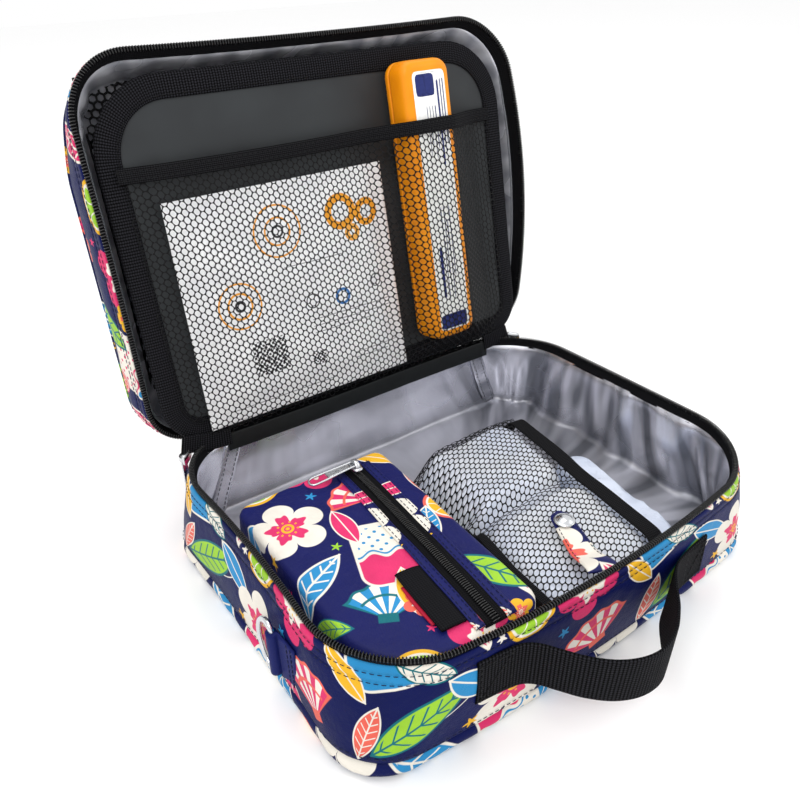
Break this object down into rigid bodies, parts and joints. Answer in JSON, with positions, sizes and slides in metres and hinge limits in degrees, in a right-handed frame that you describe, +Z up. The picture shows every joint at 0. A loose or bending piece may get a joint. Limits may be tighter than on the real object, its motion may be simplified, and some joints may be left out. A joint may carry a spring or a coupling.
{
  "type": "insulin cooling case",
  "caption": "Soft zipped travel case, open: silver-lined base and lid, folding divider with net pocket and kit box, zipped pouch, gel packs under a net, webbing handle.",
  "frame": {"origin": "centre of the base's bottom face, on the surface it stands on", "axes": "+Z up, +X along the hinge to the right, +Y from the handle wall to the hinge"},
  "size_m": [0.281, 0.3112, 0.2668],
  "materials": {
    "printed_fabric": "coated woven fabric, navy with coloured motifs",
    "foil_lining": "silver metallised film, wrinkled",
    "foam": "closed cell foam, hidden",
    "board": "smooth dark grey board",
    "net": "open hexagonal net",
    "zip_coil": "black coil chain, satin",
    "orange_plastic": "satin moulded plastic",
    "label": "white with a navy block at each end",
    "packet_film": "white film, slightly wrinkled",
    "gel_film": "translucent film, puffy",
    "bright_metal": "plated",
    "black_webbing": "ribbed webbing and tape"
  },
  "bodies": {
    "base": {"base_bottom_panel": "printed_fabric", "base_lower_band": "printed_fabric", "base_outer_fabric": "printed_fabric", "base_foam_floor": "foam", "base_foam_wall": "foam", "base_lining": "foil_lining", "base_zip_tape": "black_webbing", "base_zip_coil": "zip_coil", "lining_seam_tape_left": "foil_lining", "lining_seam_tape_right": "foil_lining", "hinge_strip": "black_webbing", "divider_spine_strip": "black_webbing", "pack_net": "net", "pack_net_binding": "black_webbing", "pack_net_band": "black_webbing", "gel_pack_front": "gel_film", "gel_pack_back": "gel_film", "snap_stud": "bright_metal", "handle_end_left": "black_webbing", "handle_end_right": "black_webbing", "dring_tab_left": "printed_fabric", "dring_tab_right": "printed_fabric"},
    "lid": {"lid_zip_coil": "zip_coil", "lid_zip_tape": "black_webbing", "lid_outer_fabric": "printed_fabric", "lid_back_panel": "printed_fabric", "lid_foam": "foam", "lid_lining": "foil_lining", "lid_net_pocket": "net", "lid_net_pocket_band": "black_webbing"},
    "divider_spine": {"divider_spine_flap": "board"},
    "divider": {"divider_board": "board", "divider_binding": "black_webbing", "divider_net_pocket": "net", "divider_elastic_band": "black_webbing"},
    "kit_box": {"kit_box_base": "orange_plastic", "kit_box_cover": "orange_plastic", "kit_box_label": "label"},
    "packet": {"supply_packet": "packet_film"},
    "pouch": {"pouch_body": "printed_fabric", "pouch_welt_left": "printed_fabric", "pouch_welt_right": "printed_fabric", "pouch_zip_tape": "black_webbing", "pouch_zip_coil": "zip_coil", "pouch_label": "black_webbing"},
    "pouch_slider": {"pouch_zip_slider": "bright_metal"},
    "pouch_pull": {"pouch_zip_pull": "bright_metal"},
    "slider_left": {"main_zip_slider_left": "bright_metal"},
    "pull_left": {"main_zip_pull_left": "bright_metal"},
    "slider_right": {"main_zip_slider_right": "bright_metal"},
    "pull_right": {"main_zip_pull_right": "bright_metal"},
    "strap": {"snap_strap": "printed_fabric", "snap_cap": "bright_metal", "snap_socket": "bright_metal"},
    "handle": {"handle_loop": "black_webbing"},
    "ring_left": {"dring_left": "bright_metal"},
    "ring_right": {"dring_right": "bright_metal"},
    "side_pack": {"gel_pack_side": "gel_film"}
  },
  "joints": [
    {"name": "lid_hinge", "type": "hinge", "parent": "base", "child": "lid", "pos_m": [0, 0.1005, 0.061], "axis": [-1, 0, 0], "range_deg": [-98.4, 81.5]},
    {"name": "divider_hinge", "type": "hinge", "parent": "base", "child": "divider_spine", "pos_m": [0, 0.0926, 0.066], "axis": [-1, 0, 0], "range_deg": [-96.3, 80]},
    {"name": "divider_fold", "type": "hinge", "parent": "divider_spine", "child": "divider", "pos_m": [0, 0.0926, 0.066], "axis": [1, 0, 0], "range_deg": [0, 96]},
    {"name": "kit_box_slide", "type": "slide", "parent": "divider", "child": "kit_box", "axis": [0, 0.1908, 0.9816], "range_m": [0, 0.13]},
    {"name": "packet_slide", "type": "slide", "parent": "divider", "child": "packet", "axis": [0, 0.1908, 0.9816], "range_m": [0, 0.12]},
    {"name": "pouch_lift", "type": "slide", "parent": "base", "child": "pouch", "axis": [0, 0, 1], "range_m": [0, 0.07]},
    {"name": "pouch_slider_travel", "type": "slide", "parent": "pouch", "child": "pouch_slider", "axis": [-0.0767, -0.9971, 0], "range_m": [0, 0.1]},
    {"name": "pouch_pull_flip", "type": "hinge", "parent": "pouch_slider", "child": "pouch_pull", "pos_m": [-0.05129, 0.02481, 0.0605], "axis": [0.0767, 0.9971, 0], "range_deg": [0, 168]},
    {"name": "main_slider_left_travel", "type": "hinge", "parent": "base", "child": "slider_left", "pos_m": [-0.086, 0.0525, 0.0596], "axis": [0, 0, 1], "range_deg": [0, 40]},
    {"name": "main_pull_left_swing", "type": "hinge", "parent": "slider_left", "child": "pull_left", "pos_m": [-0.12245, 0.08895, 0.0596], "axis": [0.7071, 0.7071, 0], "range_deg": [0, 160]},
    {"name": "main_slider_right_travel", "type": "hinge", "parent": "base", "child": "slider_right", "pos_m": [0.086, 0.0525, 0.0596], "axis": [0, 0, -1], "range_deg": [0, 40]},
    {"name": "main_pull_right_swing", "type": "hinge", "parent": "slider_right", "child": "pull_right", "pos_m": [0.12245, 0.08895, 0.0596], "axis": [0.7071, -0.7071, 0], "range_deg": [0, 160]},
    {"name": "snap_strap_lift", "type": "hinge", "parent": "base", "child": "strap", "pos_m": [0.0025, -0.0975, 0.0451], "axis": [0.9174, -0.3979, 0], "range_deg": [0, 100]},
    {"name": "handle_swing", "type": "hinge", "parent": "base", "child": "handle", "pos_m": [0, -0.1223, 0.036], "axis": [-1, 0, 0], "range_deg": [-20, 55]},
    {"name": "ring_left_swing", "type": "hinge", "parent": "base", "child": "ring_left", "pos_m": [-0.1355, -0.036, 0.028], "axis": [0, 0, 1], "range_deg": [0, 150]},
    {"name": "ring_right_swing", "type": "hinge", "parent": "base", "child": "ring_right", "pos_m": [0.1383, -0.036, 0.028], "axis": [0, 0, -1], "range_deg": [0, 150]},
    {"name": "side_pack_lift", "type": "slide", "parent": "base", "child": "side_pack", "axis": [0, 0, 1], "range_m": [0, 0.06]}
  ],
  "couplings": [
    {"joint": "divider_hinge", "follows": "lid_hinge", "ratio": 0.9756}
  ]
}
